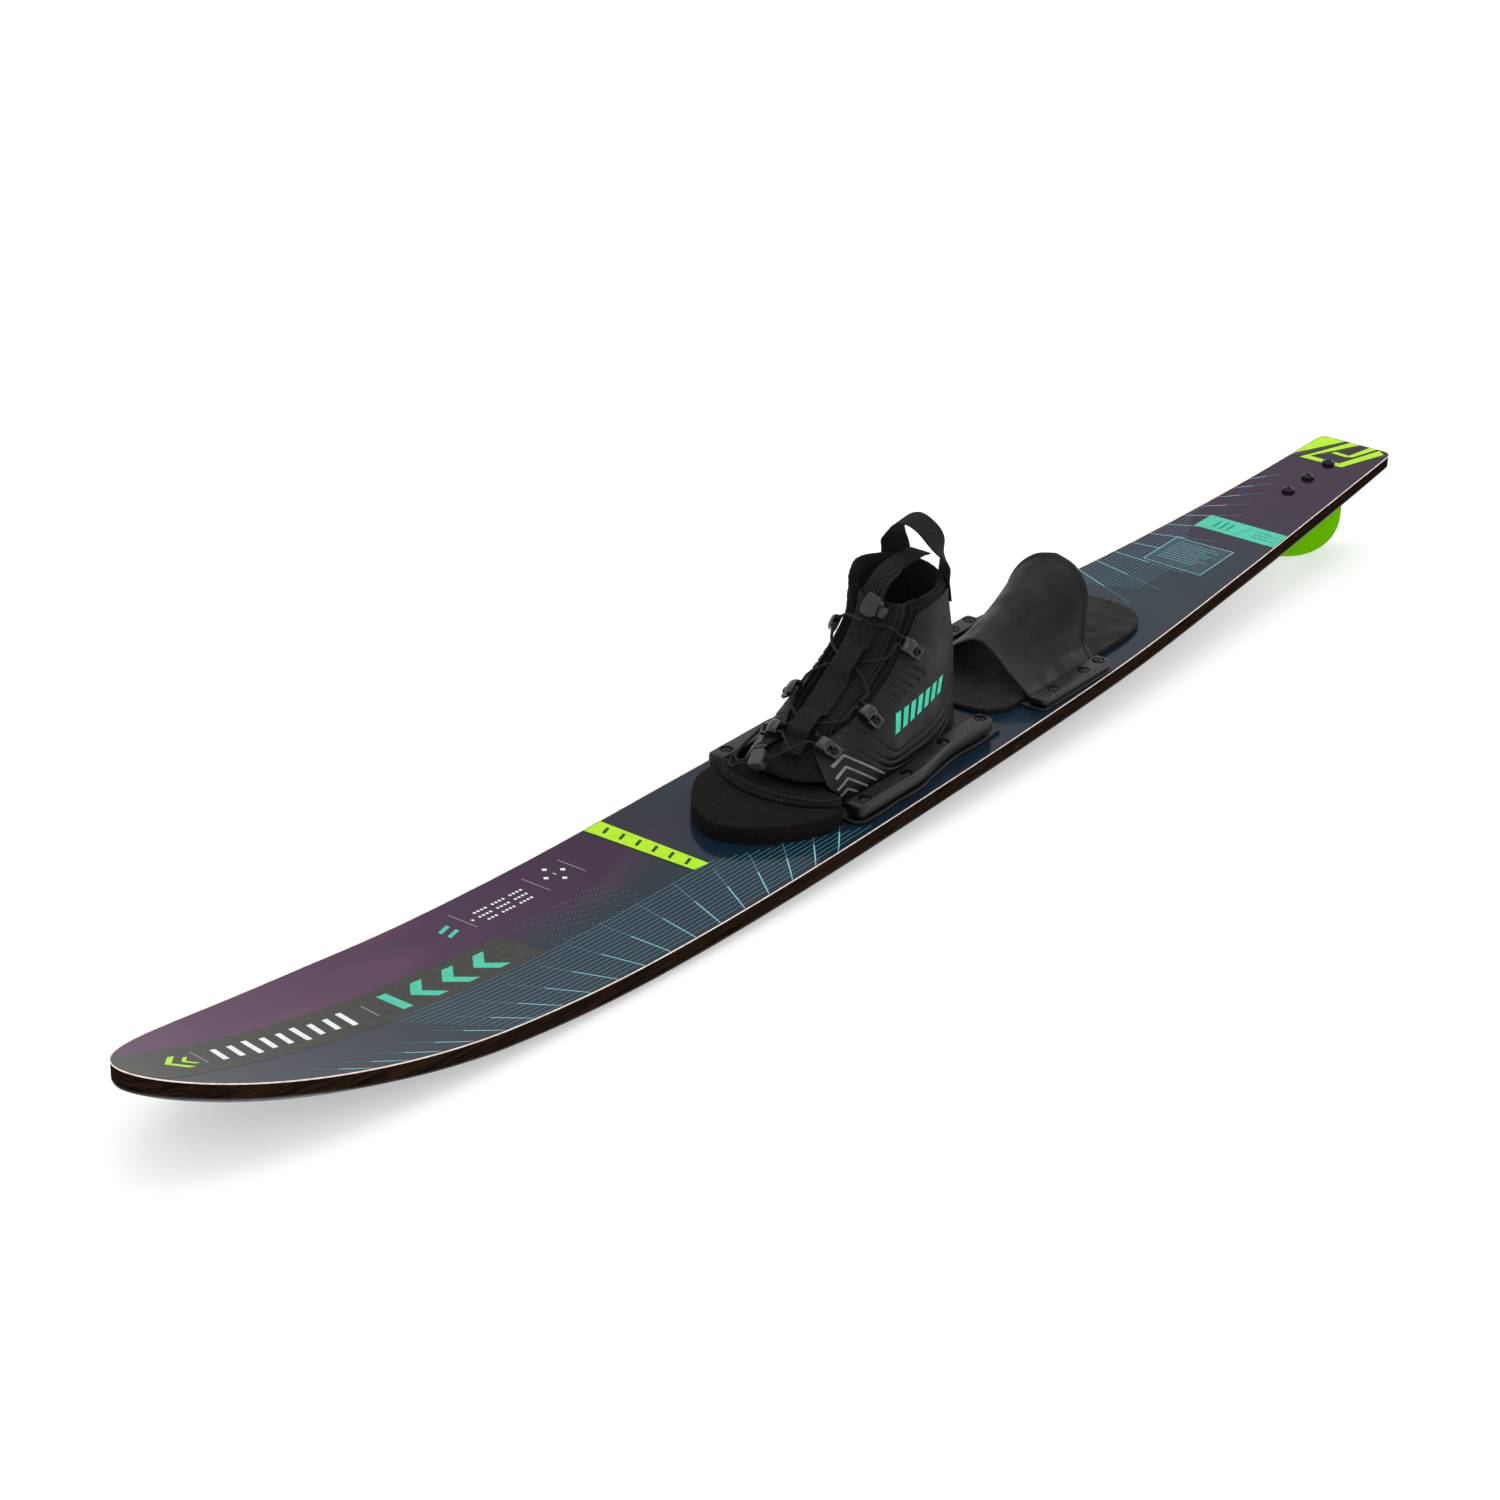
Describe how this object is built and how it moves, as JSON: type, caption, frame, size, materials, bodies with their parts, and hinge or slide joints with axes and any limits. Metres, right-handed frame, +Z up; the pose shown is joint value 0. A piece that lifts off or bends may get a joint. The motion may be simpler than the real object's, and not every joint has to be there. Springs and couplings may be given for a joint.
{
  "type": "water ski",
  "caption": "Slalom water ski with a flared rockered deck, a drop fin, a lace-up front boot on screwed rails and a rubber rear toe strap.",
  "frame": {"origin": "bottom centre of the bounding box, on the floor that the ski lies on, with the ski resting on its belly and its fin", "axes": "+X to the ski's tip, +Y to the skier's left, +Z up"},
  "size_m": [1.7014, 0.174, 0.2267],
  "materials": {
    "core": "satin dark resin-sealed sidewall",
    "deck": "clear-coated top sheet with printed bars and lines over slate and violet",
    "base": "smooth moulded base",
    "fin": "bright green moulded fin",
    "steel": "black-oxide screws and springs",
    "plate": "black moulded plate",
    "foam": "speckled foam pad",
    "rail": "black moulded rail",
    "rubber": "moulded rubber with grooves",
    "neoprene": "black neoprene with a knit face",
    "mesh": "spacer mesh",
    "webbing": "ribbed woven webbing",
    "cord": "braided lace",
    "hardware": "moulded lace guides and cord locks"
  },
  "bodies": {
    "ski": {"ski_core": "core", "top_sheet": "deck", "base_sheet": "base", "fin": "fin", "fin_screw_1": "steel", "fin_screw_2": "steel", "fin_screw_3": "steel", "front_plate": "plate", "foot_pad": "foam", "boot_sole": "neoprene", "boot_shell": "rubber", "boot_liner": "neoprene", "tongue": "mesh", "tongue_webbing": "webbing", "lace": "cord", "lace_guide_lower_left": "hardware", "lace_guide_lower_right": "hardware", "lace_guide_middle_left": "hardware", "lace_guide_middle_right": "hardware", "lace_guide_upper_left": "hardware", "lace_guide_upper_right": "hardware", "guide_screw_lower_left": "steel", "guide_screw_lower_right": "steel", "guide_screw_middle_left": "steel", "guide_screw_middle_right": "steel", "guide_screw_upper_left": "steel", "guide_screw_upper_right": "steel", "front_rail_left": "rail", "front_rail_right": "rail", "front_screw_left_1": "steel", "front_screw_left_2": "steel", "front_screw_left_3": "steel", "front_screw_left_4": "steel", "front_screw_right_1": "steel", "front_screw_right_2": "steel", "front_screw_right_3": "steel", "front_screw_right_4": "steel", "rear_plate": "plate", "rear_pad": "foam", "toe_strap": "rubber", "rear_rail_left": "rail", "rear_rail_right": "rail", "rear_screw_left_1": "steel", "rear_screw_left_2": "steel", "rear_screw_left_3": "steel", "rear_screw_right_1": "steel", "rear_screw_right_2": "steel", "rear_screw_right_3": "steel"},
    "heel_loop": {"heel_pull_loop": "webbing"},
    "upper_lock": {"upper_lock_body": "hardware", "upper_lock_spring": "steel"},
    "upper_button": {"upper_lock_button": "hardware"},
    "lower_lock": {"lower_lock_body": "hardware", "lower_lock_spring": "steel"},
    "lower_button": {"lower_lock_button": "hardware"}
  },
  "joints": [
    {"name": "heel_loop_flop", "type": "hinge", "parent": "ski", "child": "heel_loop", "pos_m": [-0.05017, 0, 0.18993], "axis": [0, 1, 0], "range_deg": [-3, 30]},
    {"name": "upper_lock_slide", "type": "slide", "parent": "ski", "child": "upper_lock", "axis": [-0.3764, 0.2505, 0.8919], "range_m": [0, 0.008]},
    {"name": "upper_button_press", "type": "slide", "parent": "upper_lock", "child": "upper_button", "axis": [-0.0974, -0.9681, 0.2308], "range_m": [0, 0.0021], "stiffness_N_per_m": 400, "deforming": ["upper_lock_spring"]},
    {"name": "lower_lock_slide", "type": "slide", "parent": "ski", "child": "lower_lock", "axis": [0.0824, -0.9357, -0.343], "range_m": [0, 0.006]},
    {"name": "lower_button_press", "type": "slide", "parent": "lower_lock", "child": "lower_button", "axis": [0.8277, 0.2559, -0.4994], "range_m": [0, 0.0021], "stiffness_N_per_m": 400, "deforming": ["lower_lock_spring"]}
  ]
}
